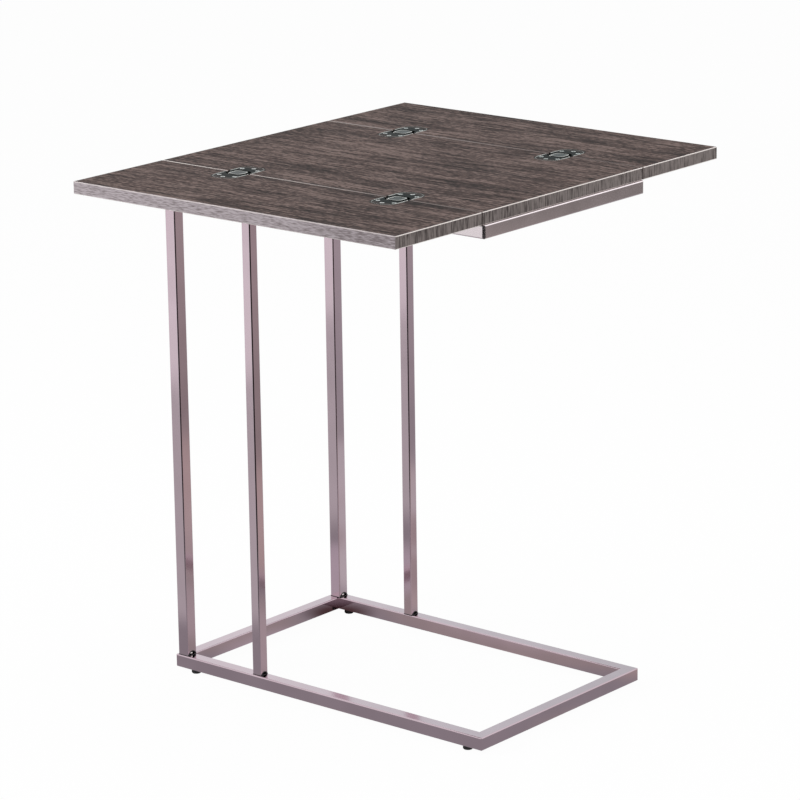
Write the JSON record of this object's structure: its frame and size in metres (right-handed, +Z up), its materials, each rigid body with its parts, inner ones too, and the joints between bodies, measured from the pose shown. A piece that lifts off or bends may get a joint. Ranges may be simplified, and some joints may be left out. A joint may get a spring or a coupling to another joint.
{
  "type": "c-shaped side table",
  "caption": "C-shaped side table on a square-tube frame, with a laminate top whose two side leaves fold over onto the centre panel.",
  "frame": {"origin": "on the floor, under the middle of the open table's bounding box", "axes": "+X from the leg end to the open end, +Y from the front leaf to the rear leaf, +Z up"},
  "size_m": [0.49, 0.601, 0.6415],
  "materials": {
    "frame_metal": "satin plated steel with a warm grey-pink tone",
    "board_laminate": "grey-brown oak-look melamine on particle board, fine grain along X",
    "edging_plastic": "matching wood-look edging strip, matt",
    "hinge_zinc": "nickel-plated zinc casting, worn bright on its edges",
    "fastener_steel": "bright zinc-plated steel",
    "plug_steel": "black oxide",
    "foot_plastic": "black moulded polyethylene"
  },
  "bodies": {
    "table": {"base_front_rail": "frame_metal", "base_rear_rail": "frame_metal", "base_leg_end_rail": "frame_metal", "base_open_end_rail": "frame_metal", "top_front_rail": "frame_metal", "top_rear_rail": "frame_metal", "top_leg_end_rail": "frame_metal", "top_open_end_rail": "frame_metal", "front_corner_leg": "frame_metal", "front_inner_leg": "frame_metal", "rear_corner_leg": "frame_metal", "rear_inner_leg": "frame_metal", "leg_foot_plugs": "plug_steel", "leg_head_plugs": "plug_steel", "base_bolts": "fastener_steel", "top_bolts": "fastener_steel", "feet": "foot_plastic", "panel_screws": "fastener_steel", "centre_panel": "board_laminate", "centre_panel_edging": "edging_plastic", "centre_hinge_screws": "hinge_zinc", "front_left_panel_plate": "hinge_zinc", "front_left_panel_pin": "fastener_steel", "front_right_panel_plate": "hinge_zinc", "front_right_panel_pin": "fastener_steel", "rear_left_panel_plate": "hinge_zinc", "rear_left_panel_pin": "fastener_steel", "rear_right_panel_plate": "hinge_zinc", "rear_right_panel_pin": "fastener_steel"},
    "front_links": {"front_left_link": "hinge_zinc", "front_right_link": "hinge_zinc"},
    "front_leaf": {"front_leaf": "board_laminate", "front_leaf_edging": "edging_plastic", "front_leaf_hinge_screws": "hinge_zinc", "front_left_leaf_plate": "hinge_zinc", "front_left_leaf_pin": "fastener_steel", "front_right_leaf_plate": "hinge_zinc", "front_right_leaf_pin": "fastener_steel"},
    "rear_links": {"rear_left_link": "hinge_zinc", "rear_right_link": "hinge_zinc"},
    "rear_leaf": {"rear_leaf": "board_laminate", "rear_leaf_edging": "edging_plastic", "rear_leaf_hinge_screws": "hinge_zinc", "rear_left_leaf_plate": "hinge_zinc", "rear_left_leaf_pin": "fastener_steel", "rear_right_leaf_plate": "hinge_zinc", "rear_right_leaf_pin": "fastener_steel"}
  },
  "joints": [
    {"name": "front_link_turn", "type": "hinge", "parent": "table", "child": "front_links", "pos_m": [0, -0.1466, 0.6392], "axis": [-1, 0, 0], "range_deg": [0, 90]},
    {"name": "front_leaf_turn", "type": "hinge", "parent": "front_links", "child": "front_leaf", "pos_m": [0, -0.1544, 0.6392], "axis": [-1, 0, 0], "range_deg": [0, 90]},
    {"name": "rear_link_turn", "type": "hinge", "parent": "table", "child": "rear_links", "pos_m": [0, 0.1466, 0.6392], "axis": [1, 0, 0], "range_deg": [0, 90]},
    {"name": "rear_leaf_turn", "type": "hinge", "parent": "rear_links", "child": "rear_leaf", "pos_m": [0, 0.1544, 0.6392], "axis": [1, 0, 0], "range_deg": [0, 90]}
  ],
  "couplings": [
    {"joint": "front_link_turn", "follows": "front_leaf_turn", "ratio": 1},
    {"joint": "rear_link_turn", "follows": "rear_leaf_turn", "ratio": 1}
  ]
}
